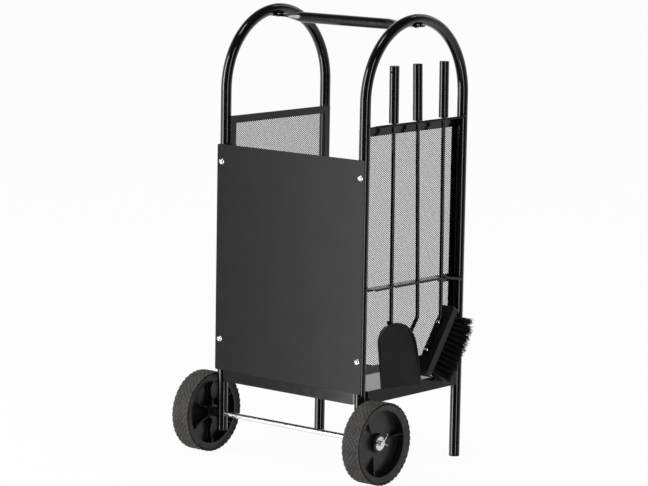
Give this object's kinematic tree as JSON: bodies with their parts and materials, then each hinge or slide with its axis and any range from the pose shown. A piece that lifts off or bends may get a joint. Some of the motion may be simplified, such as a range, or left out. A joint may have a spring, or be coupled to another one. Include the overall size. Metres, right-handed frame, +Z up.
{
  "type": "fireside log cart with tool set",
  "caption": "Black steel fireside log cart: bent tube hoops, a front sheet, a log tray, mesh sides, wheels, and a hanging shovel, poker and brush.",
  "frame": {"origin": "On the floor, in the middle of the cart's outline: halfway between the outer sides of the two tyres, and halfway between the front of the tyres and the back of the rear legs.", "axes": "+Z is up. +X is to the right seen from the front, towards the side with the tools. -Y is the front, with the front sheet and the wheels."},
  "size_m": [0.4276, 0.3544, 0.7999],
  "materials": {
    "frame_black": "semi-gloss black powder coat on steel tube and bar",
    "sheet_black": "satin black powder coat on sheet steel",
    "mesh_black": "black powder coat on expanded steel mesh",
    "zinc": "bright zinc plate",
    "tyre_rubber": "dull black rubber with a block tread",
    "hub_plastic": "satin moulded black plastic",
    "plug_black": "moulded black plastic",
    "brush_plastic": "satin moulded black plastic",
    "bristle_black": "black synthetic bristles"
  },
  "bodies": {
    "cart": {"left_hoop": "frame_black", "right_hoop": "frame_black", "rear_foot_plugs": "plug_black", "front_leg_plugs": "plug_black", "handle_bar": "frame_black", "handle_screws": "zinc", "handle_rivet_nuts": "zinc", "front_panel": "sheet_black", "panel_screws": "zinc", "tray": "sheet_black", "tray_screws": "zinc", "left_mesh_frame": "frame_black", "left_mesh": "mesh_black", "right_mesh_frame": "frame_black", "right_mesh": "mesh_black", "tool_rail": "frame_black", "tool_guard": "frame_black", "axle": "zinc", "wheel_spacers": "plug_black", "wheel_washers": "zinc", "cotter_pins": "zinc"},
    "left_wheel": {"left_wheel_hub": "hub_plastic", "left_tyre": "tyre_rubber"},
    "right_wheel": {"right_wheel_hub": "hub_plastic", "right_tyre": "tyre_rubber"},
    "shovel": {"shovel_handle": "frame_black", "shovel_caps": "plug_black", "shovel_shaft": "frame_black", "shovel_blade": "sheet_black"},
    "poker": {"poker_handle": "frame_black", "poker_caps": "plug_black", "poker_shaft": "frame_black"},
    "brush": {"brush_handle": "frame_black", "brush_caps": "plug_black", "brush_shaft": "frame_black", "brush_block": "brush_plastic", "brush_bristles": "bristle_black", "brush_screws": "zinc"}
  },
  "joints": [
    {"name": "left_wheel_spin", "type": "hinge", "parent": "cart", "child": "left_wheel", "pos_m": [-0.19, -0.10525, 0.072], "axis": [1, 0, 0], "continuous": true},
    {"name": "right_wheel_spin", "type": "hinge", "parent": "cart", "child": "right_wheel", "pos_m": [0.19, -0.10525, 0.072], "axis": [1, 0, 0], "continuous": true},
    {"name": "shovel_lift", "type": "slide", "parent": "cart", "child": "shovel", "axis": [0.9659, 0, 0.2588], "range_m": [0, 0.08]},
    {"name": "poker_lift", "type": "slide", "parent": "cart", "child": "poker", "axis": [0.9659, 0, 0.2588], "range_m": [0, 0.08]},
    {"name": "brush_lift", "type": "slide", "parent": "cart", "child": "brush", "axis": [0.9659, 0, 0.2588], "range_m": [0, 0.08]}
  ]
}
